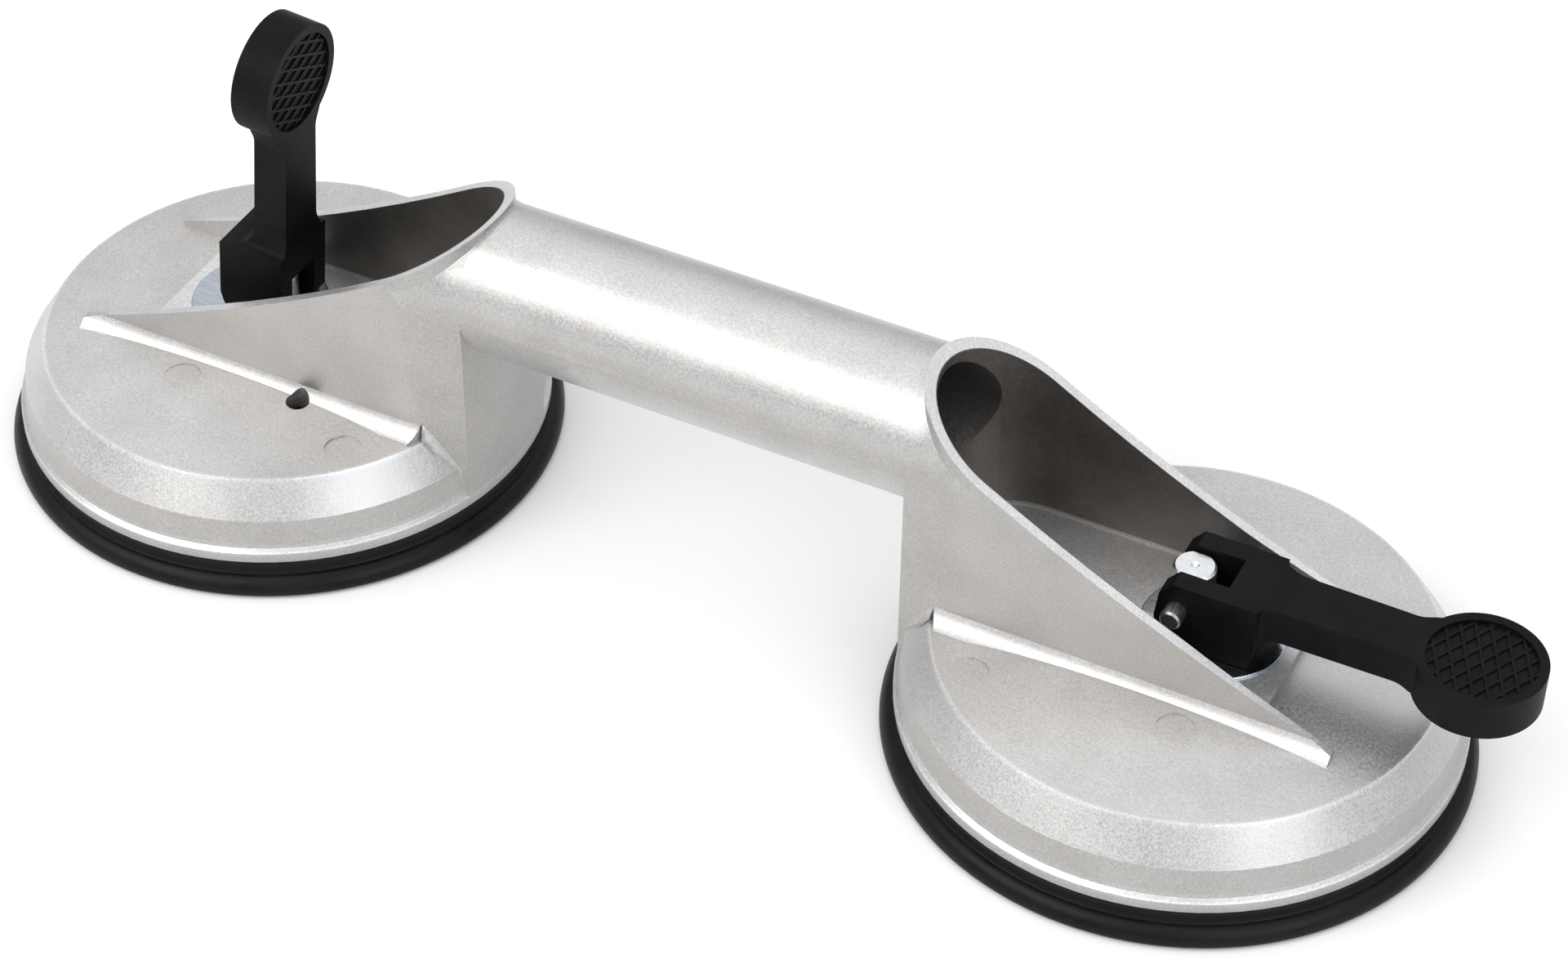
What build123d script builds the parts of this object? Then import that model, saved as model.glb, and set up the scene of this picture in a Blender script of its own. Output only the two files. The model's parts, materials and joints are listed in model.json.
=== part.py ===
from build123d import *
from math import cos, pi, radians, sin, sqrt
import os

# Double suction lifter: one cast handle with two lever-operated suction cups.
# Frame: X along the handle, Z up, origin on the suction plane midway between the
# two cups.  All sizes in millimetres.  Each cup has its own local frame: origin on
# the cup axis at the suction plane, local +X pointing away from the handle.

# ---- driving dimensions -------------------------------------------------------
CUP_X = 107.0            # cup axis to the middle of the handle
LEVER_LIFT = 5.0         # how far a lever pulls its post up
LEVER_SWING = 95.0       # degrees, from folded outwards to standing up

# cast housing
FLANGE_R = 58.5          # rim bead of the housing
FLANGE_Z = 8.0           # underside of the rim
BEAD_H = 2.2             # height of the rim bead
SKIRT_TOP_R = 56.7
SKIRT_TOP_Z = 17.8
DECK_R = 51.8            # crest between deck and bevel
DECK_Z = 25.4
DECK_CROWN = 2.0         # rise of the domed deck above its crest
HOLLOW_R = 53.4          # hollow that takes the rubber cup
HOLLOW_TOP_R = 47.5
HOLLOW_SHOULDER_Z = 17.2
CEILING_Z = 23.0
CHANNEL_W = 39.0         # outside width across the two side walls
WALL = 2.4
TIP_WALL = 0.9           # the walls thin down towards their tips
THIN_START = 4.0         # outwards of the cup axis
CHANNEL_END = 38.5       # centre of the rounded inner end, inwards of the cup axis
CHANNEL_FLOOR_Z = 29.8
FLOOR_END = 22.8         # straight step where the raised floor stops
WALL_TIP = 38.0          # where the wall tops run out on the deck
TIP_Z = 27.5             # height of the wall tops at their tips
MID_X = -10.5
MID_Z = 48.4             # ... at MID_X, measured outwards from the cup axis
CREST_Z = 76.6           # ... over the mouth of the tube
FAIRING_START = 44.0     # where the walls start to close in on the tube
FAIRING_W = 30.4         # width at the end wall; the tube grows out of them just before it
COVE_R = 3.2             # height and width of the cove along the foot of each wall
COVE_SAG = 0.42          # how hollow it is
COVE_REACH = 50.9        # radius where the coves stop, just inside the bevel
COVE_END = 47.0          # inwards of the cup axis, at the crest of the deck
CORNER_COVE = 2.3        # smaller cove that carries on down the bevel to the rim
VENT_R = 2.55             # hole through the deck, beside one wall
VENT_AT = (-18.2, 22.3)
MARKS = [(-34.3, 30.0), (-34.3, -30.0), (8.3, 26.5), (8.3, -26.5)]
MARK_R = 4.0             # ejector pin marks on the deck
MARK_DEPTH = 0.18

# handle tube
TUBE_R = 16.15
TUBE_BORE_R = 13.7
TUBE_Z = 59.0

# post, bush and wear plate
POST_R = 4.4
POST_FLAT = 7.0          # across the flats
POST_HEAD = 4.9          # post top above the pivot
BUSH_R = 6.6
BUSH_CLEARANCE = 0.05
PLATE_R = 15.0
PLATE_T = 0.6
PLATE_OFFSET = 5.3       # the wear plate is set outwards, under the lever foot
CAM_GAP = 0.15           # running gap between cam and wear plate
PIN_R = 2.2
PIN_L = 25.0

# lever, in its own frame: origin at the pivot, +X along the folded lever, +Z up
CAM_LOW = 4.3            # pivot to wear plate, lever upright
CAM_HIGH = CAM_LOW + LEVER_LIFT
BLOCK_W = 17.6
BLOCK_TOP = 6.2
BLOCK_END = 16.4
HEEL_END = 15.6
SLOT_W = 8.8
SLOT_END = 8.9
STEM_W = 12.0
STEM_NECK_W = 11.4
STEM_TOP = 5.7
STEM_BOTTOM = -2.2
SHOULDER = 5.0           # length of the hollow shoulder between block and stem
GUSSET = 4.0             # hollow under the stem where it leaves the block
PAD_X = 59.2
PAD_R = 12.9
PAD_T = 8.7
PAD_RECESS_R = 10.9
PAD_RECESS = 0.9
RIB_PITCH = 3.3          # crossed grip ribs in the pad, spacing along the lever
RIB_W = 0.6
RIB_H = 0.4
RIB_ANGLES = (-28, 26)

# rubber cup and its insert
RUBBER_R = 61.1
RUBBER_RIM_Z = 7.8
LIP_R = 55.0             # inner edge of the flat sealing lip
LIP_H = 4.4              # height of the bulge round the rim
NECK_R = 58.0            # straight neck between the bulge and the housing
INSERT_R = 19.0
INSERT_T = 2.2
INSERT_Z = 5.6           # underside of the insert, cup released
SPRING_R = 9.6
SPRING_WIRE = 1.5
SPRING_TURNS = 3.5
SEAT_T = 1.0
SEAT_R = 12.5

COVE_Z = DECK_Z + 0.5    # lower edge of the cove, just inside the domed deck
WEAR_Z = CHANNEL_FLOOR_Z + PLATE_T
PIVOT_LOW = WEAR_Z + CAM_GAP + CAM_LOW
PIVOT_HIGH = PIVOT_LOW + LEVER_LIFT

# name, direction of the cup from the middle, lever folded down
CUPS = [("left", -1, False), ("right", 1, True)]

os.makedirs("parts", exist_ok=True)


def save(builder, name):
    """Label a finished piece and write it to its own file."""
    builder.part.label = name
    export_step(builder.part, "parts/" + name + ".step")


def cup_plane(side, z=0.0):
    """Horizontal plane of one cup at height z, local +X pointing outwards."""
    return Plane(origin=(side * CUP_X, 0, z), x_dir=(side, 0, 0), z_dir=(0, 0, 1))


def cup_section(side, y=0.0):
    """Upright plane along the handle at local y: sketch x is outwards, y is up."""
    frame = cup_plane(side)
    origin = frame.origin + frame.y_dir * y
    return Plane(origin=origin, x_dir=frame.x_dir, z_dir=frame.y_dir * -1)


def cross_plane(side, x):
    """Upright plane across the handle at local x: sketch x is across, y is up."""
    frame = cup_plane(side)
    origin = frame.origin + frame.x_dir * x
    return Plane(origin=origin, x_dir=frame.y_dir, z_dir=frame.x_dir)


def bullet(width, end_x, tip_x):
    """Plan of a wall: straight sides from tip_x back to a half-round end at end_x."""
    half = width / 2
    with BuildLine() as outline:
        Line((tip_x, half), (end_x, half))
        ThreePointArc((end_x, half), (end_x - half, 0), (end_x, -half))
        Line((end_x, -half), (tip_x, -half))
        Line((tip_x, -half), (tip_x, half))
    return outline.line


def arch(width, foot_z, axis_z):
    """Cross-section with upright sides and a half-round top about the tube axis."""
    half = width / 2
    with BuildLine() as outline:
        Line((half, foot_z), (half, axis_z))
        ThreePointArc((half, axis_z), (0, axis_z + half), (-half, axis_z))
        Line((-half, axis_z), (-half, foot_z))
        Line((-half, foot_z), (half, foot_z))
    return outline.line


def deck_height(point):
    """Height of the domed deck at a local point."""
    return DECK_Z + DECK_CROWN * (1 - (point[0] ** 2 + point[1] ** 2) / DECK_R**2)


# ---- cast handle: tube and two housings in one piece ---------------------------
def fairing_part(side):
    """Inner end of a housing: walls close in on the tube and meet a round end wall."""
    with BuildPart() as fairing:
        with BuildSketch(cross_plane(side, -FAIRING_START)):
            make_face(arch(CHANNEL_W, FLANGE_Z, TUBE_Z))
        extrude(amount=FAIRING_START - CHANNEL_END)
        with BuildSketch(cross_plane(side, -FAIRING_START)):
            make_face(arch(CHANNEL_W, FLANGE_Z, TUBE_Z))
        with BuildSketch(cross_plane(side, -FLANGE_R - 0.5)):
            make_face(arch(FAIRING_W, FLANGE_Z, TUBE_Z))
        loft()
        with BuildSketch(cup_plane(side, FLANGE_Z)):
            Circle(FLANGE_R)
        extrude(amount=CREST_Z + 20, mode=Mode.INTERSECT)
    return fairing.part


def cove_profile():
    """Cross-section of one wall foot: a shallow hollow arc from wall to deck."""
    wall = CHANNEL_W / 2
    middle = COVE_R / 2 - COVE_SAG * sqrt(0.5)
    with BuildLine() as outline:
        Polyline((wall - 1, CEILING_Z), (wall - 1, COVE_Z + COVE_R), (wall, COVE_Z + COVE_R))
        ThreePointArc(
            (wall, COVE_Z + COVE_R),
            (wall + middle, COVE_Z + middle),
            (wall + COVE_R, COVE_Z),
        )
        Polyline((wall + COVE_R, COVE_Z), (wall + COVE_R, CEILING_Z), (wall - 1, CEILING_Z))
    return outline.line


def corner_outline(radius, reach, mirrored):
    """Plan of the small cove where the closing-in wall meets the round body at one radius."""
    closing = (CHANNEL_W - FAIRING_W) / 2 / (FLANGE_R + 0.5 - FAIRING_START)
    foot_x = sqrt(radius**2 - (CHANNEL_W / 2 - 1.5) ** 2)
    foot_y = CHANNEL_W / 2 - closing * (foot_x - FAIRING_START)
    flip = -1 if mirrored else 1
    along_wall = (-foot_x - reach, flip * (foot_y - closing * reach))
    along_rim = (-foot_x + reach * foot_y / radius, flip * (foot_y + reach * foot_x / radius))
    hollow = 0.3
    middle_x = hollow * (along_wall[0] + along_rim[0]) / 2 - (1 - hollow) * foot_x
    middle_y = hollow * (along_wall[1] + along_rim[1]) / 2 + (1 - hollow) * flip * foot_y
    inside = (-foot_x + 1.5, flip * (foot_y - 1.5))
    with BuildLine() as outline:
        ThreePointArc(along_wall, (middle_x, middle_y), along_rim)
        Polyline(along_rim, inside, along_wall)
    return outline.line


def corner_cove_part(side, mirrored):
    """Cove down the bevel and skirt, beside one edge of the end wall."""
    with BuildPart() as corner:
        for z, radius, reach in (
            (COVE_Z + COVE_R - 0.4, DECK_R - 1.2, 0.3),
            (COVE_Z, DECK_R, CORNER_COVE),
            (SKIRT_TOP_Z, SKIRT_TOP_R, CORNER_COVE),
            (FLANGE_Z + BEAD_H, FLANGE_R - 1.0, CORNER_COVE * 0.7),
        ):
            with BuildSketch(cup_plane(side, z)):
                make_face(corner_outline(radius, reach, mirrored))
        loft(ruled=True)
    return corner.part


def cove_part(side):
    """Cove along the foot of both walls, cut off round just inside the bevel."""
    top = COVE_Z + COVE_R + 1
    with BuildPart() as coves:
        with BuildSketch(cross_plane(side, -COVE_END)):
            make_face(cove_profile())
            mirror(about=Plane.YZ)
        extrude(amount=COVE_END + WALL_TIP)
        with BuildSketch(cup_plane(side, CEILING_Z - 1)):
            Circle(COVE_REACH)
        extrude(amount=top - CEILING_Z + 1, mode=Mode.INTERSECT)
    return coves.part


def thinning_outline(start):
    """Plan of the channel from one station outwards, where its sides open towards the wall tips."""
    wide = CHANNEL_W / 2 - TIP_WALL
    narrow = CHANNEL_W / 2 - WALL
    at_start = narrow + (wide - narrow) * (start - THIN_START) / (WALL_TIP - THIN_START)
    end = WALL_TIP + 20
    with BuildLine() as outline:
        Polyline((start, -at_start), (WALL_TIP, -wide), (end, -wide), (end, wide), (WALL_TIP, wide))
        Polyline((WALL_TIP, wide), (start, at_start), (start, -at_start))
    return outline.line


def wall_part(side):
    """Raised floor and both side walls."""
    with BuildPart() as walls:
        with BuildSketch(cup_plane(side, CEILING_Z)):
            make_face(bullet(CHANNEL_W, -CHANNEL_END, WALL_TIP))
        extrude(amount=CREST_Z - CEILING_Z + 10)
        with BuildSketch(cup_plane(side, CEILING_Z - 1)):
            make_face(thinning_outline(FLOOR_END))
        extrude(amount=CREST_Z, mode=Mode.SUBTRACT)
    return walls.part


def above_part(side):
    """Everything above the long hollow curve of the wall tops and the rim of the mouth."""
    mouth = CHANNEL_END + CHANNEL_W / 2 + 0.5
    top = CREST_Z + 40
    outer = WALL_TIP + 30
    with BuildPart() as above:
        with BuildSketch(cup_section(side)):
            with BuildLine():
                ThreePointArc((WALL_TIP, TIP_Z), (MID_X, MID_Z), (-mouth, CREST_Z))
                Polyline((-mouth, CREST_Z), (-mouth, top), (outer, top))
                Polyline((outer, top), (outer, TIP_Z), (WALL_TIP, TIP_Z))
            make_face()
        extrude(amount=CHANNEL_W, both=True)
    return above.part


def disc_part(side):
    """Round body of a housing: rim bead, steep skirt, bevel and slightly domed deck."""
    section = cup_section(side)
    bead_top = FLANGE_Z + BEAD_H
    with BuildPart() as disc:
        with BuildSketch(section):
            with BuildLine():
                Polyline(
                    (0, FLANGE_Z),
                    (FLANGE_R, FLANGE_Z),
                    (FLANGE_R, bead_top),
                    (FLANGE_R - 1.0, bead_top + 0.8),
                    (SKIRT_TOP_R, SKIRT_TOP_Z),
                    (DECK_R, DECK_Z),
                )
                ThreePointArc(
                    (DECK_R, DECK_Z),
                    (DECK_R / 2, DECK_Z + DECK_CROWN * 0.75),
                    (0, DECK_Z + DECK_CROWN),
                )
                Line((0, DECK_Z + DECK_CROWN), (0, FLANGE_Z))
            make_face()
        revolve(axis=Axis(section.origin, (0, 0, 1)))
    return disc.part


def hollow_part(side):
    """Everything that is open in a housing: rubber hollow, channel and bush hole."""
    section = cup_section(side)
    inner_w = CHANNEL_W - 2 * WALL
    with BuildPart() as hollow:
        with BuildSketch(section):
            with BuildLine():
                Polyline(
                    (0, FLANGE_Z - 1),
                    (HOLLOW_R, FLANGE_Z - 1),
                    (HOLLOW_R, HOLLOW_SHOULDER_Z),
                    (HOLLOW_TOP_R, CEILING_Z),
                    (0, CEILING_Z),
                    (0, FLANGE_Z - 1),
                )
            make_face()
        revolve(axis=Axis(section.origin, (0, 0, 1)))
        with BuildSketch(cup_plane(side, CHANNEL_FLOOR_Z)):
            make_face(bullet(inner_w, -CHANNEL_END, WALL_TIP + 20))
            make_face(thinning_outline(THIN_START))
        extrude(amount=CREST_Z)
        with BuildSketch(cup_plane(side, CEILING_Z - 1)):
            Circle(BUSH_R)
            with Locations(VENT_AT):
                Circle(VENT_R)
        extrude(amount=CHANNEL_FLOOR_Z - CEILING_Z + 2)
        for mark in MARKS:
            with BuildSketch(cup_plane(side, deck_height(mark) - MARK_DEPTH)):
                with Locations(mark):
                    Circle(MARK_R)
            extrude(amount=2)
    return hollow.part


with BuildPart() as casting:
    for cup_name, side, folded in CUPS:
        add(disc_part(side))
        add(wall_part(side))
        add(cove_part(side))
        add(fairing_part(side))
        add(corner_cove_part(side, False))
        add(corner_cove_part(side, True))
    with BuildSketch(Plane.YZ.offset(-CUP_X + FLANGE_R - 4)):
        with Locations((0, TUBE_Z)):
            Circle(TUBE_R)
    extrude(amount=2 * (CUP_X - FLANGE_R + 4))
    for cup_name, side, folded in CUPS:
        add(above_part(side), mode=Mode.SUBTRACT)
        add(hollow_part(side), mode=Mode.SUBTRACT)
    with BuildSketch(Plane.YZ.offset(-CUP_X + CHANNEL_END)):
        with Locations((0, TUBE_Z)):
            Circle(TUBE_BORE_R)
    extrude(amount=2 * (CUP_X - CHANNEL_END), mode=Mode.SUBTRACT)
save(casting, "handle_casting")


# ---- wear plate, guide bush and spring seat -------------------------------------
def wear_plate(side):
    """Polished round plate under the lever foot, with a hole for the post."""
    with BuildPart() as plate:
        with BuildSketch(cup_plane(side, CHANNEL_FLOOR_Z)):
            with Locations((PLATE_OFFSET, 0)):
                Circle(PLATE_R)
            Circle(POST_R + 0.6, mode=Mode.SUBTRACT)
        extrude(amount=PLATE_T)
        rim = plate.edges().filter_by(GeomType.CIRCLE).sort_by(SortBy.RADIUS)[-2:]
        fillet(rim.sort_by(Axis.Z)[-1:], PLATE_T * 0.5)
    return plate


def guide_bush(side):
    """Plastic bush pressed into the casting, its collar under the ceiling."""
    with BuildPart() as bush:
        with BuildSketch(cup_plane(side, CEILING_Z - SEAT_T)):
            Circle(BUSH_R + 1.8)
        extrude(amount=SEAT_T)
        with BuildSketch(cup_plane(side, CEILING_Z)):
            Circle(BUSH_R)
        extrude(amount=CHANNEL_FLOOR_Z - CEILING_Z)
        with BuildSketch(cup_plane(side, CEILING_Z - SEAT_T)):
            Circle(POST_R + BUSH_CLEARANCE)
        extrude(amount=CHANNEL_FLOOR_Z - CEILING_Z + SEAT_T, mode=Mode.SUBTRACT)
    return bush


def spring_seat(side):
    """Flat steel ring that keeps the spring off the casting, around the bush collar."""
    with BuildPart() as seat:
        with BuildSketch(cup_plane(side, CEILING_Z - SEAT_T)):
            Circle(SEAT_R)
            Circle(BUSH_R + 1.95, mode=Mode.SUBTRACT)
        extrude(amount=SEAT_T)
    return seat


# ---- moving column: post, insert, pivot pin --------------------------------------
def puller_post(side, lift):
    """Round post with two flats, a cross hole for the pin and a riveted foot."""
    pivot_z = PIVOT_LOW + lift
    insert_top = INSERT_Z + INSERT_T + lift
    top = pivot_z + POST_HEAD
    with BuildPart() as post:
        with BuildSketch(cup_plane(side, insert_top)):
            Circle(POST_R)
        extrude(amount=top - insert_top)
        chamfer(post.edges().filter_by(GeomType.CIRCLE).sort_by(Axis.Z)[-1:], 0.5)
        with BuildSketch(cup_plane(side, pivot_z - CAM_HIGH - 1)):
            Rectangle(2 * POST_R + 2, 2 * POST_R + 2)
            Rectangle(2 * POST_R + 2, POST_FLAT, mode=Mode.SUBTRACT)
        extrude(amount=CAM_HIGH + POST_HEAD + 2, mode=Mode.SUBTRACT)
        with BuildSketch(cup_plane(side, insert_top)):
            Circle(POST_R + 1.6)
        extrude(amount=1.8)
        with BuildSketch(cup_plane(side, insert_top - INSERT_T)):
            Circle(POST_R - 1.2)
        extrude(amount=INSERT_T)
        with BuildSketch(cup_section(side)):
            with Locations((0, pivot_z)):
                Circle(PIN_R)
        extrude(amount=POST_R + 1, both=True, mode=Mode.SUBTRACT)
        with BuildSketch(cup_section(side)):
            with BuildLine():
                Polyline((0, top + 1), (0.9, top + 1), (0.9, top), (0, top - 0.7), (0, top + 1))
            make_face()
        revolve(axis=Axis(cup_plane(side).origin, (0, 0, 1)), mode=Mode.SUBTRACT)
    return post


def insert_plate(side, lift):
    """Steel disc bonded into the top of the rubber, with the post riveted into it."""
    with BuildPart() as insert:
        with BuildSketch(cup_plane(side, INSERT_Z + lift)):
            Circle(INSERT_R)
            Circle(POST_R - 1.2, mode=Mode.SUBTRACT)
        extrude(amount=INSERT_T)
        rims = insert.edges().filter_by(GeomType.CIRCLE).sort_by(SortBy.RADIUS)[-2:]
        fillet(rims.sort_by(Axis.Z)[-1:], 0.8)
    return insert


def pivot_pin(side, lift):
    """Steel pin pressed through the post, its ends standing out of the lever cheeks."""
    section = cup_section(side)
    with BuildPart() as pin:
        with BuildSketch(section):
            with Locations((0, PIVOT_LOW + lift)):
                Circle(PIN_R)
        extrude(amount=PIN_L / 2, both=True)
        chamfer(pin.edges().filter_by(GeomType.CIRCLE), 0.4)
    return pin


def return_spring(side, lift):
    """Compression spring between the insert and the seat, round the foot of the post."""
    foot = INSERT_Z + INSERT_T + lift + SPRING_WIRE / 2 + 0.1
    head = CEILING_Z - SEAT_T - SPRING_WIRE / 2 - 0.1
    height = head - foot
    frame = cup_plane(side, foot)
    with BuildPart() as spring:
        with BuildLine(frame) as coil:
            Helix(pitch=height / SPRING_TURNS, height=height, radius=SPRING_R)
        with BuildSketch(Plane(origin=coil.line @ 0, z_dir=coil.line % 0)):
            Circle(SPRING_WIRE / 2)
        sweep(path=coil.line, is_frenet=True)
    return spring


# ---- rubber cup ------------------------------------------------------------------
def rubber_cup(side, lift):
    """Thick rubber disc: a lip round the rim, its middle raised by the post."""
    section = cup_section(side)
    top = INSERT_Z + INSERT_T
    with BuildPart() as rubber:
        with BuildSketch(section):
            with BuildLine():
                Line((0, lift + 1.2), (INSERT_R, lift + 1.2))
                Spline(
                    (INSERT_R, lift + 1.2),
                    (0.55 * LIP_R, 0.75 * lift + 1.2),
                    (LIP_R - 4, 1.0),
                    tangents=[(1, 0), (1, -0.1)],
                )
                Line((LIP_R - 4, 1.0), (LIP_R, 0))
                Line((LIP_R, 0), (RUBBER_R - 1.3, 0))
                Spline(
                    (RUBBER_R - 1.3, 0),
                    (RUBBER_R, 1.7),
                    (NECK_R + 0.8, LIP_H),
                    (NECK_R, LIP_H + 1.4),
                    tangents=[(1, 0.1), (0, 1)],
                )
                Line((NECK_R, LIP_H + 1.4), (NECK_R, RUBBER_RIM_Z))
                Line((NECK_R, RUBBER_RIM_Z), (HOLLOW_R - 0.4, RUBBER_RIM_Z))
                Line((HOLLOW_R - 0.4, RUBBER_RIM_Z), (HOLLOW_R - 0.4, RUBBER_RIM_Z + 2.0))
                Line((HOLLOW_R - 0.4, RUBBER_RIM_Z + 2.0), (HOLLOW_R - 4, RUBBER_RIM_Z + 2.0))
                Spline(
                    (HOLLOW_R - 4, RUBBER_RIM_Z + 2.0),
                    (0.62 * LIP_R, top + 0.7 * lift),
                    (INSERT_R + 2, top + lift),
                    tangents=[(-1, 0), (-1, 0)],
                )
                Polyline(
                    (INSERT_R + 2, top + lift),
                    (INSERT_R + 0.1, top + lift),
                    (INSERT_R + 0.1, INSERT_Z + lift),
                    (0, INSERT_Z + lift),
                    (0, lift + 1.2),
                )
            make_face()
        revolve(axis=Axis(section.origin, (0, 0, 1)))
    return rubber


# ---- lever -----------------------------------------------------------------------
def lever_frame(side, folded):
    """Frame at the pivot with +X along the lever: outwards if folded, else standing up."""
    base = cup_plane(side, PIVOT_HIGH if folded else PIVOT_LOW)
    if folded:
        return base
    swing = radians(LEVER_SWING)
    along = base.x_dir * cos(swing) + base.z_dir * sin(swing)
    across = base.z_dir * cos(swing) - base.x_dir * sin(swing)
    return Plane(origin=base.origin, x_dir=along, z_dir=across)


def cam_point(turn):
    """Cam outline at a turn from standing (0) to folded: its reach grows evenly."""
    growth = LEVER_LIFT / radians(LEVER_SWING)
    reach = CAM_LOW + growth * turn
    angle = turn + pi / 2 - radians(LEVER_SWING)
    return (-reach * cos(angle) + growth * sin(angle), -reach * sin(angle) - growth * cos(angle))


def lever_plan():
    """Half of the plan of a lever: block, hollow shoulder, stem and neck of the pad."""
    half = BLOCK_W / 2
    stem = STEM_W / 2
    neck = STEM_NECK_W / 2
    back = -CAM_LOW - 1
    with BuildLine() as outline:
        Polyline((back, 0), (back, half), (BLOCK_END, half), (BLOCK_END + 0.2, half - 0.9))
        Spline(
            (BLOCK_END + 0.2, half - 0.9),
            (BLOCK_END + 0.3 * SHOULDER, stem + 0.7),
            (BLOCK_END + SHOULDER, stem),
            tangents=[(0.25, -1), (1, 0)],
        )
        Line((BLOCK_END + SHOULDER, stem), (PAD_X - PAD_R - 2.5, neck))
        Spline(
            (PAD_X - PAD_R - 2.5, neck),
            (PAD_X - PAD_R + 1.6, neck + 1.4),
            (PAD_X, PAD_R - 1.5),
            tangents=[(1, 0), (0.4, 1)],
        )
        Polyline((PAD_X, PAD_R - 1.5), (PAD_X, 0), (back, 0))
    return outline.line


def lever_profile():
    """Side view of a lever: cam, flat foot, hollow gusset, stem and chamfered block top."""
    turns = [radians(LEVER_SWING) * step / 8 for step in range(9)]
    cam = [cam_point(turn) for turn in turns]
    lean = radians(LEVER_SWING) - pi / 2
    hollow = GUSSET * (1 - sqrt(0.5))
    with BuildLine() as outline:
        Spline(cam, tangents=[(-sin(lean), -cos(lean)), (1, 0)])
        Polyline(cam[-1], (HEEL_END, -CAM_HIGH), (BLOCK_END, STEM_BOTTOM - GUSSET))
        ThreePointArc(
            (BLOCK_END, STEM_BOTTOM - GUSSET),
            (BLOCK_END + hollow, STEM_BOTTOM - hollow),
            (BLOCK_END + GUSSET, STEM_BOTTOM),
        )
        Polyline(
            (BLOCK_END + GUSSET, STEM_BOTTOM),
            (PAD_X, STEM_BOTTOM),
            (PAD_X, STEM_TOP),
            (BLOCK_END + 4, STEM_TOP),
            (BLOCK_END, BLOCK_TOP),
            (-CAM_LOW + 3.0, BLOCK_TOP),
            (-CAM_LOW + 0.4, BLOCK_TOP - 3.0),
            cam[0],
        )
    return outline.line


def lever(side, folded):
    """Moulded lever: forked cam block, stem and round thumb pad."""
    frame = lever_frame(side, folded)
    side_view = Plane(origin=frame.origin, x_dir=frame.x_dir, z_dir=frame.y_dir * -1)
    with BuildPart() as body:
        with BuildSketch(frame.offset(-CAM_HIGH - 1)):
            make_face(lever_plan())
            mirror(about=Plane.XZ)
        extrude(amount=CAM_HIGH + BLOCK_TOP + 2)
        with BuildSketch(side_view):
            make_face(lever_profile())
        extrude(amount=BLOCK_W, both=True, mode=Mode.INTERSECT)
        # thumb pad, its recess and the grip ribs
        with BuildSketch(frame.offset(STEM_TOP - PAD_T)):
            with Locations((PAD_X, 0)):
                Circle(PAD_R)
        extrude(amount=PAD_T)
        with BuildSketch(frame.offset(STEM_TOP - PAD_RECESS)):
            with Locations((PAD_X, 0)):
                Circle(PAD_RECESS_R)
        extrude(amount=PAD_RECESS, mode=Mode.SUBTRACT)
        with BuildSketch(frame.offset(STEM_TOP - PAD_RECESS)):
            with Locations((PAD_X, 0)):
                for angle in RIB_ANGLES:
                    with GridLocations(RIB_PITCH, 0, 9, 1):
                        Rectangle(RIB_W, 2 * PAD_R, rotation=angle)
                Circle(PAD_RECESS_R, mode=Mode.INTERSECT)
        extrude(amount=RIB_H)
        # fork slot and pin hole
        with BuildSketch(frame.offset(-CAM_HIGH - 1)):
            with Locations((SLOT_END - 10, 0)):
                Rectangle(20, SLOT_W)
        extrude(amount=CAM_HIGH + BLOCK_TOP + 2, mode=Mode.SUBTRACT)
        with BuildSketch(side_view):
            Circle(PIN_R + 0.05)
        extrude(amount=BLOCK_W, both=True, mode=Mode.SUBTRACT)
    return body


for cup_name, side, folded in CUPS:
    lift = LEVER_LIFT if folded else 0
    save(wear_plate(side), cup_name + "_wear_plate")
    save(guide_bush(side), cup_name + "_guide_bush")
    save(spring_seat(side), cup_name + "_spring_seat")
    save(puller_post(side, lift), cup_name + "_puller_post")
    save(insert_plate(side, lift), cup_name + "_insert_plate")
    save(pivot_pin(side, lift), cup_name + "_pivot_pin")
    save(return_spring(side, lift), cup_name + "_return_spring")
    save(rubber_cup(side, lift), cup_name + "_rubber_cup")
    save(lever(side, folded), cup_name + "_lever")
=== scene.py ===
import json
import math

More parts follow.
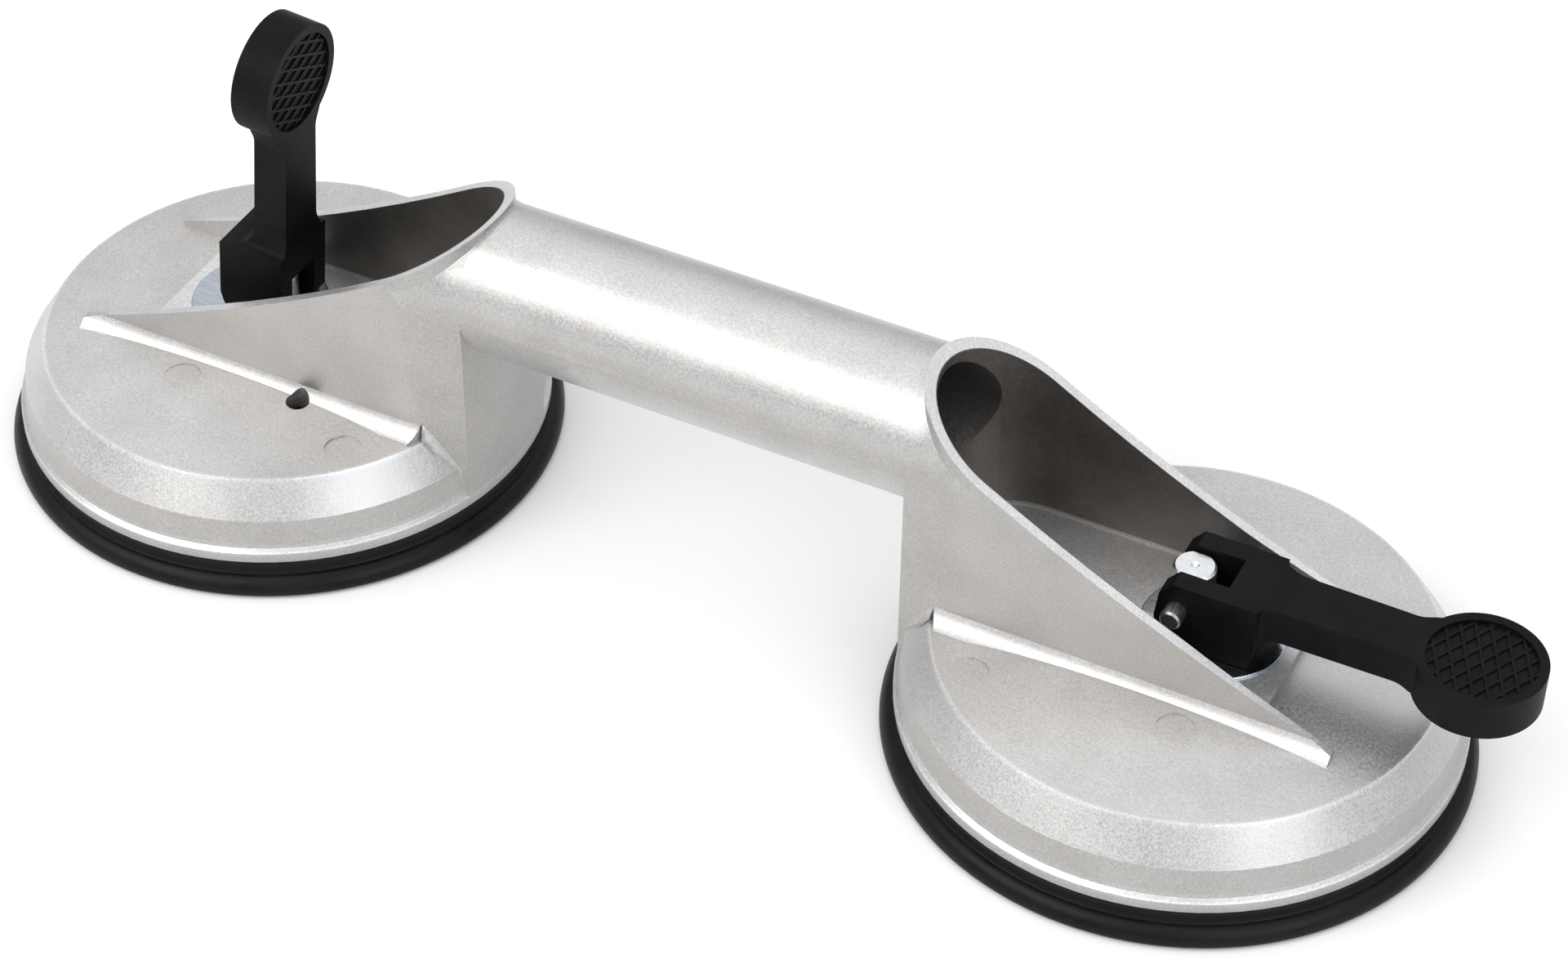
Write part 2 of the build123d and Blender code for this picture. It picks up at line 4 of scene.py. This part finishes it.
import bmesh
import bpy
from mathutils import Matrix, Vector
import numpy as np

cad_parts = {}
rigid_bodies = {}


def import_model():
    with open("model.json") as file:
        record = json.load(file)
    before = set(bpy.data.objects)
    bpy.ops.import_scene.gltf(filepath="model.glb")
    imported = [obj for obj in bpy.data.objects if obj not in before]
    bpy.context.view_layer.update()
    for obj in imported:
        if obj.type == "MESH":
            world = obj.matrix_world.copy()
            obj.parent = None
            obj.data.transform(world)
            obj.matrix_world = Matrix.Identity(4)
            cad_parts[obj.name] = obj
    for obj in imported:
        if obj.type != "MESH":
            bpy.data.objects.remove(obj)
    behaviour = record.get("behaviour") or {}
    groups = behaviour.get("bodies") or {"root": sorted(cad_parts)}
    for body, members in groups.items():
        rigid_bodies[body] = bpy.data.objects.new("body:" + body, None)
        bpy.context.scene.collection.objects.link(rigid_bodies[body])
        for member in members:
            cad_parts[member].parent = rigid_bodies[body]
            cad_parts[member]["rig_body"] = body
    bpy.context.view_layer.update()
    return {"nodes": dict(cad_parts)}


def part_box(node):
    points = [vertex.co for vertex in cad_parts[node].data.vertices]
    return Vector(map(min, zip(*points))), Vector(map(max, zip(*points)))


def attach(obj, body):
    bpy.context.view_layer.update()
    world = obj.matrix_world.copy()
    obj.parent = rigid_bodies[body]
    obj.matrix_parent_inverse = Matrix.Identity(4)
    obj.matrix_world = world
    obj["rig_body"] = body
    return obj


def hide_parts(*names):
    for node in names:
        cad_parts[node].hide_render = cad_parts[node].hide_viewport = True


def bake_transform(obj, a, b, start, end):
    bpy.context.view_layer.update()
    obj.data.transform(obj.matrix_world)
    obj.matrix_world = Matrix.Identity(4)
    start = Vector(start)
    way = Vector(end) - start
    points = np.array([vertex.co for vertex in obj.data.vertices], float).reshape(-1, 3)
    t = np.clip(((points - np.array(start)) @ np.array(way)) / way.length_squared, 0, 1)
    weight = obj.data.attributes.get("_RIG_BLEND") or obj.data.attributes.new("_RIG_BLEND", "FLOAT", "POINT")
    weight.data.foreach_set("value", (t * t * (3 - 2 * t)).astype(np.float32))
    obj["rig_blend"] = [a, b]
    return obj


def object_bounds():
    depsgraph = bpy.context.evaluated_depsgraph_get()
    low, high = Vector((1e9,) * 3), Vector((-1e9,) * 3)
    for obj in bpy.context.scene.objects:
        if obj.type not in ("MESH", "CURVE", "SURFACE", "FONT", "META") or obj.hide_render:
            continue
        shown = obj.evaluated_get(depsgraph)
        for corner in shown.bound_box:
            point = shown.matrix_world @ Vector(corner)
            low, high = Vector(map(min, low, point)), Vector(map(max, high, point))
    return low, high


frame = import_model()
nodes = frame["nodes"]
MM = 0.001

# Where the casting's surfaces lie, with a little to spare, for its material.
CUP_X = 107 * MM  # cup axis to the middle of the handle
END_CENTRE = CUP_X - 38.5 * MM  # centre of the channel's round inner end
CHANNEL_HALF = 17.25 * MM
WALL_HALF = 19.6 * MM
FLOOR_Z = 29.5 * MM  # just under the raised channel floor
STEP_X = CUP_X + 22.7 * MM  # where the raised floor stops
SHADE_START, SHADE_END = CUP_X - 2 * MM, CUP_X + 14 * MM  # the painted shade in the channels fades out here
CREST_LOW, CREST_HIGH = 27.5 * MM, 30.5 * MM  # the painted highlight on the wall tops begins here
TUBE_Z = 59 * MM
BORE_R = 13.9 * MM
HIGHLIGHT_RINGS = (  # radius, half width and height in mm of painted highlight lines: the deck's edge and both edges of the bead
    (51.8, 0.7, 25.5),
    (58.3, 0.35, 10.0),
    (57.3, 0.35, 11.1),
)

# The rubber follows the housing outside the first radius and the post inside the second.
RUBBER_HELD_R = 48 * MM
RUBBER_FREE_R = 22 * MM
RUBBER_GRID_MM = 4.5

# Camera, and light
LENS_PX = 4641.70 * 0.988
IMAGE_W = 1920
SENSOR_W = 36
CAMERA_SHIFT = 0.003
CAMERA_PLACE = (0.275814, -0.521085, 0.545123)
CAMERA_TURNS = ((26.47032, "Z"), (48.41747, "X"), (0.71265, "Z"))  # degrees, outermost first
LIGHT_AIM = (0, 0, 0.03)

# ---- materials ------------------------------------------------------------------


class Tree:
    """A material's node tree, with short calls to add and join nodes."""

    def __init__(self, name):
        self.material = bpy.data.materials.new(name)
        self.material.use_nodes = True
        self.tree = self.material.node_tree
        self.shader = self.tree.nodes["Principled BSDF"]
        coordinates = self.add("ShaderNodeTexCoord").outputs
        self.place, self.facing = coordinates["Object"], coordinates["Normal"]

    def add(self, kind, **settings):
        """A new node with the given settings."""
        node = self.tree.nodes.new(kind)
        for key, value in settings.items():
            setattr(node, key, value)
        return node

    def link(self, source, target):
        self.tree.links.new(source, target)

    def set(self, **values):
        """Sets sockets of the shader; an underscore stands for a space."""
        for key, value in values.items():
            self.shader.inputs[key.replace("_", " ")].default_value = value

    def stretched(self, scale):
        """Object coordinates, scaled per axis."""
        mapping = self.add("ShaderNodeMapping")
        mapping.inputs["Scale"].default_value = scale
        self.link(self.place, mapping.inputs["Vector"])
        return mapping.outputs["Vector"]

    def noise(self, size_mm, detail=4.0, rough=0.5, where=None):
        """Noise whose features are about size_mm across."""
        node = self.add("ShaderNodeTexNoise")
        node.inputs["Scale"].default_value = 1000.0 / size_mm
        node.inputs["Detail"].default_value = detail
        node.inputs["Roughness"].default_value = rough
        self.link(where or self.place, node.inputs["Vector"])
        return node.outputs["Fac"]

    def span(self, source, low, high, start=0.3, stop=0.7):
        """Maps a noise value to a range."""
        node = self.add("ShaderNodeMapRange")
        node.inputs["From Min"].default_value = start
        node.inputs["From Max"].default_value = stop
        node.inputs["To Min"].default_value = low
        node.inputs["To Max"].default_value = high
        self.link(source, node.inputs["Value"])
        return node.outputs["Result"]

    def ramp(self, source, *stops):
        """Colour ramp from (position, colour) stops."""
        node = self.add("ShaderNodeValToRGB")
        elements = node.color_ramp.elements
        while len(elements) < len(stops):
            elements.new(0.5)
        for element, (position, colour) in zip(elements, stops):
            element.position = position
            element.color = (*colour, 1)
        self.link(source, node.inputs["Fac"])
        return node.outputs["Color"]

    def mix(self, factor, first, second, blend="MIX"):
        """Mixes two colours; each is a socket or a colour."""
        node = self.add("ShaderNodeMix", data_type="RGBA", blend_type=blend)
        for value, place in ((factor, 0), (first, 6), (second, 7)):
            target = node.inputs[place]
            if isinstance(value, (int, float)):
                target.default_value = value
            elif isinstance(value, tuple):
                target.default_value = (*value, 1)
            else:
                self.link(value, target)
        return node.outputs[2]

    def bump(self, height, depth_mm, strength=1.0, below=None):
        """Bump of a given depth, laid over another one if given."""
        node = self.add("ShaderNodeBump")
        node.inputs["Strength"].default_value = strength
        node.inputs["Distance"].default_value = depth_mm * MM
        self.link(height, node.inputs["Height"])
        if below is not None:
            self.link(below, node.inputs["Normal"])
        return node.outputs["Normal"]

    def math(self, kind, first, second=0.0):
        """One arithmetic step; each value is a socket or a number."""
        node = self.add("ShaderNodeMath", operation=kind)
        for value, target in zip((first, second), node.inputs):
            if isinstance(value, (int, float)):
                target.default_value = value
            else:
                self.link(value, target)
        return node.outputs[0]

    def length(self, first, second):
        """Length of the vector (first, second)."""
        squares = (self.math("MULTIPLY", value, value) for value in (first, second))
        return self.math("SQRT", self.math("ADD", *squares))

    def parts(self, vector):
        """X, Y and Z of a vector."""
        split = self.add("ShaderNodeSeparateXYZ")
        self.link(vector, split.inputs["Vector"])
        return tuple(split.outputs)

    def off_axis(self, along, y):
        """Distance in plan from a channel's middle line, which ends at the centre of its round end."""
        past_centre = self.math("MAXIMUM", self.math("SUBTRACT", END_CENTRE, along), 0.0)
        return self.length(past_centre, y)

    def painted_recess_shade(self):
        """Mask of painted shade: 1 deep inside the lever channels and the tube, 0 on the outside of the
        casting.
        """
        x, y, z = self.parts(self.place)
        along = self.math("ABSOLUTE", x)
        near_axis = self.math("LESS_THAN", self.off_axis(along, y), CHANNEL_HALF)
        raised = self.math("GREATER_THAN", z, FLOOR_Z)
        before_step = self.math("LESS_THAN", along, STEP_X)
        channel = self.math("MULTIPLY", self.math("MULTIPLY", near_axis, raised), before_step)
        fade = self.span(along, 1.0, 0.05, SHADE_START, SHADE_END)
        # The raised channel floor keeps only part of the painted shade.
        floor = self.math("LESS_THAN", z, FLOOR_Z + 1 * MM)
        lighter_floor = self.math("SUBTRACT", 1.0, self.math("MULTIPLY", floor, 0.72))
        channel = self.math("MULTIPLY", channel, self.math("MULTIPLY", fade, lighter_floor))
        bore = self.math("LESS_THAN", self.length(y, self.math("SUBTRACT", z, TUBE_Z)), BORE_R)
        return self.math("MAXIMUM", channel, bore)

    def near(self, value, middle_mm, half_mm):
        """1 where a coordinate is at middle_mm, falling to 0 half_mm away."""
        away = self.math("ABSOLUTE", self.math("SUBTRACT", value, middle_mm * MM))
        return self.span(away, 1.0, 0.0, 0.0, half_mm * MM)

    def painted_highlight(self):
        """Mask of painted highlight: 1 on upward-facing wall tops, the deck's edge and the rim bead."""
        x, y, z = self.parts(self.place)
        along = self.math("ABSOLUTE", x)
        upward = self.span(self.parts(self.facing)[2], 0.0, 1.0, 0.35, 0.8)
        high = self.span(z, 0.0, 1.0, CREST_LOW, CREST_HIGH)
        housing = self.math("LESS_THAN", self.off_axis(along, y), WALL_HALF)
        highlight_mask = self.math("MULTIPLY", self.math("MULTIPLY", high, upward), housing)
        radius = self.length(self.math("SUBTRACT", along, CUP_X), y)
        for radius_mm, half_mm, height_mm in HIGHLIGHT_RINGS:
            across = self.near(radius, radius_mm, half_mm)
            ring = self.math("MULTIPLY", across, self.near(z, height_mm, 1.2))
            highlight_mask = self.math("MAXIMUM", highlight_mask, ring)
        return highlight_mask

    def finish(self, colour, roughness, normal=None):
        """Joins the given sockets to the shader."""
        for source, name in ((colour, "Base Color"), (roughness, "Roughness"), (normal, "Normal")):
            if source is not None:
                self.link(source, self.shader.inputs[name])
        return self.material


def cast_paint():
    """Silver sand-textured finish of the casting, with painted shade inside the channels and the tube,
    painted highlights on the wall tops and edges, and painted shade on side-facing faces.
    """
    t = Tree("cast_silver")
    t.set(Metallic=0.85)
    grain = t.noise(0.5, detail=2, rough=0.6)
    cloud = t.noise(14, detail=3)
    paint = t.ramp(t.span(cloud, 0, 1), (0.0, (0.635, 0.63, 0.625)), (1.0, (0.71, 0.705, 0.70)))
    # Painted highlight: a brighter tone on the wall tops, the deck's edge and the bead.
    highlight_tone = t.ramp(t.span(cloud, 0, 1), (0.0, (0.80, 0.81, 0.83)), (1.0, (0.90, 0.91, 0.93)))
    # Painted shade: a dark tone laid into the channels and the tube bore.
    shade_tone = t.ramp(t.span(cloud, 0, 1), (0.0, (0.20, 0.188, 0.172)), (1.0, (0.28, 0.264, 0.246)))
    base = t.mix(t.painted_recess_shade(), t.mix(t.painted_highlight(), paint, highlight_tone), shade_tone)
    speck = t.ramp(t.span(grain, 0, 1, 0.3, 0.7), (0.0, (0.75, 0.74, 0.73)), (1.0, (1.0, 1.0, 1.0)))
    # Painted shade: faces turned to the sides are darker than upward-facing ones.
    level = t.math("ABSOLUTE", t.parts(t.facing)[2])
    side = t.ramp(t.span(level, 0, 1, 0.1, 0.5), (0.0, (0.75, 0.74, 0.73)), (1.0, (1.0, 1.0, 1.0)))
    colour = t.mix(1.0, t.mix(1.0, base, side, "MULTIPLY"), speck, "MULTIPLY")
    normal = t.bump(grain, 0.06, 0.5, t.bump(t.noise(3.5, detail=2), 0.05, 0.3))
    return t.finish(colour, t.span(grain, 0.34, 0.48), normal)


def nylon():
    """Black moulded plastic with a fine spark-eroded grain."""
    t = Tree("black_nylon_skin")
    t.set(Metallic=0.0, Specular_IOR_Level=0.10)
    grain = t.noise(0.3, detail=3, rough=0.6)
    colour = t.ramp(t.span(t.noise(6), 0, 1), (0.0, (0.003, 0.003, 0.0032)), (1.0, (0.006, 0.006, 0.0063)))
    return t.finish(colour, t.span(grain, 0.42, 0.58), t.bump(grain, 0.03, 0.4))


def rubber():
    """Black rubber, slightly glossy, with faint dusting."""
    t = Tree("black_rubber_skin")
    t.set(Metallic=0.0, Specular_IOR_Level=0.17)
    cloud = t.noise(9, detail=5, rough=0.6)
    fine = t.noise(0.5, detail=3)
    colour = t.ramp(t.span(cloud, 0, 1), (0.0, (0.003, 0.003, 0.003)), (1.0, (0.007, 0.007, 0.0073)))
    return t.finish(colour, t.span(cloud, 0.30, 0.46), t.bump(fine, 0.03, 0.3))


def metal(name, low, high, rough_low, rough_high, streak=(1, 1, 1), size_mm=1.5, depth_mm=0.01):
    """Bare or plated steel with directional marks."""
    t = Tree(name)
    t.set(Metallic=1.0)
    marks = t.noise(size_mm, detail=4, where=t.stretched(streak))
    colour = t.ramp(t.span(marks, 0, 1), (0.0, low), (1.0, high))
    return t.finish(colour, t.span(marks, rough_low, rough_high), t.bump(marks, depth_mm, 0.5))


def acetal():
    """Off-white sliding plastic."""
    t = Tree("acetal_skin")
    cloud = t.noise(3, detail=4)
    colour = t.ramp(t.span(cloud, 0, 1), (0.0, (0.66, 0.65, 0.62)), (1.0, (0.76, 0.75, 0.72)))
    return t.finish(colour, t.span(cloud, 0.35, 0.5), t.bump(cloud, 0.01, 0.3))


def paper():
    """Pale floor."""
    t = Tree("pale_floor")
    cloud = t.noise(900, detail=2)
    colour = t.ramp(t.span(cloud, 0, 1), (0.0, (0.90, 0.90, 0.90)), (1.0, (0.93, 0.93, 0.93)))
    return t.finish(colour, t.span(cloud, 0.85, 0.95))


CAST = cast_paint()
SKINS = {
    "lever": nylon(),
    "rubber_cup": rubber(),
    "wear_plate": metal(
        "blued_plate", (0.40, 0.44, 0.49), (0.52, 0.56, 0.62), 0.10, 0.20, (1, 6, 1), 4.0
    ),
    "guide_bush": acetal(),
    "spring_seat": metal("zinc_ring", (0.66, 0.67, 0.68), (0.80, 0.81, 0.82), 0.28, 0.42),
    "puller_post": metal(
        "zinc_post", (0.72, 0.74, 0.76), (0.86, 0.87, 0.89), 0.26, 0.42, (1, 1, 0.2), 0.8, 0.02
    ),
    "insert_plate": metal("zinc_disc", (0.66, 0.67, 0.68), (0.80, 0.81, 0.82), 0.28, 0.42),
    "pivot_pin": metal(
        "drawn_pin", (0.30, 0.29, 0.28), (0.46, 0.45, 0.43), 0.30, 0.45, (1, 0.15, 1), 0.5, 0.02
    ),
    "return_spring": metal("spring_wire", (0.24, 0.24, 0.25), (0.40, 0.40, 0.41), 0.28, 0.42),
}


def dress(obj, material):
    """Gives an object one material."""
    obj.data.materials.clear()
    obj.data.materials.append(material)


# ---- detailed pieces --------------------------------------------------------------
WELD = 1e-6  # points closer than this are one
FLAT_ANGLE = math.radians(0.3)  # faces within this angle are one face
SHARP_ANGLE = math.radians(16.5)  # edges above this angle are rounded
BLEND_WEIGHTS = "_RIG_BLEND"


def cut_up(work, node, grid_mm):
    """Cuts a mesh along a square grid seen from above, so that its flat faces can bend."""
    low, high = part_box(node)
    for axis in (0, 1):
        normal = (1 - axis, axis, 0)
        steps = max(2, round((high[axis] - low[axis]) / (grid_mm * MM)))
        for step in range(1, steps):
            geometry = work.verts[:] + work.edges[:] + work.faces[:]
            point = low.lerp(high, step / steps)
            bmesh.ops.bisect_plane(work, geom=geometry, dist=1e-7, plane_co=point, plane_no=normal)


def crisp(node, width_mm, grid_mm=None):
    """A copy of a CAD node with every sharp edge broken by a small round."""
    source = nodes[node]
    mesh = bpy.data.meshes.new(node + "_detail")
    work = bmesh.new()
    work.from_mesh(source.data)
    bmesh.ops.remove_doubles(work, verts=work.verts, dist=WELD)
    bmesh.ops.dissolve_limit(work, angle_limit=FLAT_ANGLE, verts=work.verts, edges=work.edges)
    if grid_mm:
        cut_up(work, node, grid_mm)
    work.to_mesh(mesh)
    work.free()
    piece = bpy.data.objects.new(node + "_detail", mesh)
    bpy.context.scene.collection.objects.link(piece)
    edge = piece.modifiers.new("edge", "BEVEL")
    edge.width = width_mm * MM
    edge.segments = 2
    edge.limit_method = "ANGLE"
    edge.angle_limit = SHARP_ANGLE
    edge.harden_normals = True
    even = piece.modifiers.new("even", "WEIGHTED_NORMAL")
    even.mode = "FACE_AREA"
    mesh.shade_smooth()
    evaluated = piece.evaluated_get(bpy.context.evaluated_depsgraph_get())
    final = bpy.data.meshes.new_from_object(evaluated)
    piece.modifiers.clear()
    piece.data = final
    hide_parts(node)
    return piece


def rigid(node, width_mm):
    """A crisp piece that rides on its node's body."""
    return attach(crisp(node, width_mm), nodes[node]["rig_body"])


def stretching(node, width_mm, side, weight, grid_mm=None):
    """A crisp piece whose points follow the housing at weight 0 and the post at weight 1.
    """
    piece = crisp(node, width_mm, grid_mm)
    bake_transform(piece, "housing", side + "_column", (0, 0, 0), (0, 0, 1))
    weights = [weight(vertex.co) for vertex in piece.data.vertices]
    piece.data.attributes[BLEND_WEIGHTS].data.foreach_set("value", weights)
    return piece


def share(value, start, stop):
    """0 at start, 1 at stop, with a smooth run between them."""
    part = min(1.0, max(0.0, (value - start) / (stop - start)))
    return part * part * (3 - 2 * part)


def membrane(axis_x):
    """Weight by radius: the rubber's middle follows the post, its rim the housing."""

    def weight(point):
        return share(math.hypot(point.x - axis_x, point.y), RUBBER_HELD_R, RUBBER_FREE_R)

    return weight


def coil(low, high):
    """Weight by height: the spring's foot follows the post, its top the housing."""

    def weight(point):
        return share(point.z, high, low)

    return weight


casting = rigid("handle_casting", 0.4)
dress(casting, CAST)
for side in ("left", "right"):
    lever = rigid(side + "_lever", 0.35)
    dress(lever, SKINS["lever"])
    low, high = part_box(side + "_rubber_cup")
    middle = membrane((low.x + high.x) / 2)
    cup = stretching(side + "_rubber_cup", 0.4, side, middle, RUBBER_GRID_MM)
    dress(cup, SKINS["rubber_cup"])
    low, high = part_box(side + "_return_spring")
    spring = stretching(side + "_return_spring", 0.05, side, coil(low.z, high.z))
    dress(spring, SKINS["return_spring"])
    for kind, skin in SKINS.items():
        if kind not in ("lever", "rubber_cup", "return_spring"):
            dress(nodes[side + "_" + kind], skin)

# ---- floor, light and camera --------------------------------------------------------
low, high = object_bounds()
under = (0, 0, low.z - 0.2 * MM)
bpy.ops.mesh.primitive_grid_add(x_subdivisions=8, y_subdivisions=8, size=6, location=under)
floor = bpy.context.object
floor.name = "floor"
dress(floor, paper())

world = bpy.data.worlds.new("studio")
bpy.context.scene.world = world
world.use_nodes = True
sky = world.node_tree.nodes
place = sky.new("ShaderNodeTexCoord")
split = sky.new("ShaderNodeSeparateXYZ")
rise = sky.new("ShaderNodeValToRGB")
rise.color_ramp.elements[0].position = 0.0
rise.color_ramp.elements[0].color = (0.30, 0.30, 0.31, 1)
rise.color_ramp.elements[1].position = 0.9
rise.color_ramp.elements[1].color = (1.28, 1.28, 1.28, 1)
world.node_tree.links.new(place.outputs["Generated"], split.inputs["Vector"])
world.node_tree.links.new(split.outputs["Z"], rise.inputs["Fac"])
world.node_tree.links.new(rise.outputs["Color"], sky["Background"].inputs["Color"])
sky["Background"].inputs["Strength"].default_value = 1.0


def softbox(name, place, size, power, colour):
    """Rectangular area light turned towards the object."""
    data = bpy.data.lights.new(name, "AREA")
    data.shape = "RECTANGLE"
    data.size, data.size_y = size
    data.energy = power
    data.color = colour
    lamp = bpy.data.objects.new(name, data)
    bpy.context.scene.collection.objects.link(lamp)
    lamp.location = place
    lamp.rotation_mode = "QUATERNION"
    lamp.rotation_quaternion = (Vector(LIGHT_AIM) - Vector(place)).to_track_quat("-Z", "Y")


softbox("key", (-0.55, -0.95, 0.95), (1.3, 0.9), 8.5, (1.0, 0.98, 0.955))
softbox("fill", (0.9, -0.5, 0.5), (0.7, 0.6), 2.6, (0.90, 0.95, 1.0))

camera_data = bpy.data.cameras.new("camera")
camera_data.sensor_width = SENSOR_W
camera_data.lens = LENS_PX * SENSOR_W / IMAGE_W
camera_data.shift_y = CAMERA_SHIFT
camera_data.clip_start, camera_data.clip_end = 0.01, 20
camera = bpy.data.objects.new("camera", camera_data)
bpy.context.scene.collection.objects.link(camera)
camera.location = CAMERA_PLACE
turn, tilt, roll = (
    Matrix.Rotation(math.radians(angle), 3, axis) for angle, axis in CAMERA_TURNS
)
camera.rotation_mode = "QUATERNION"
camera.rotation_quaternion = (turn @ tilt @ roll).to_quaternion()
bpy.context.scene.camera = camera
bpy.context.scene.view_settings.view_transform = "Standard"
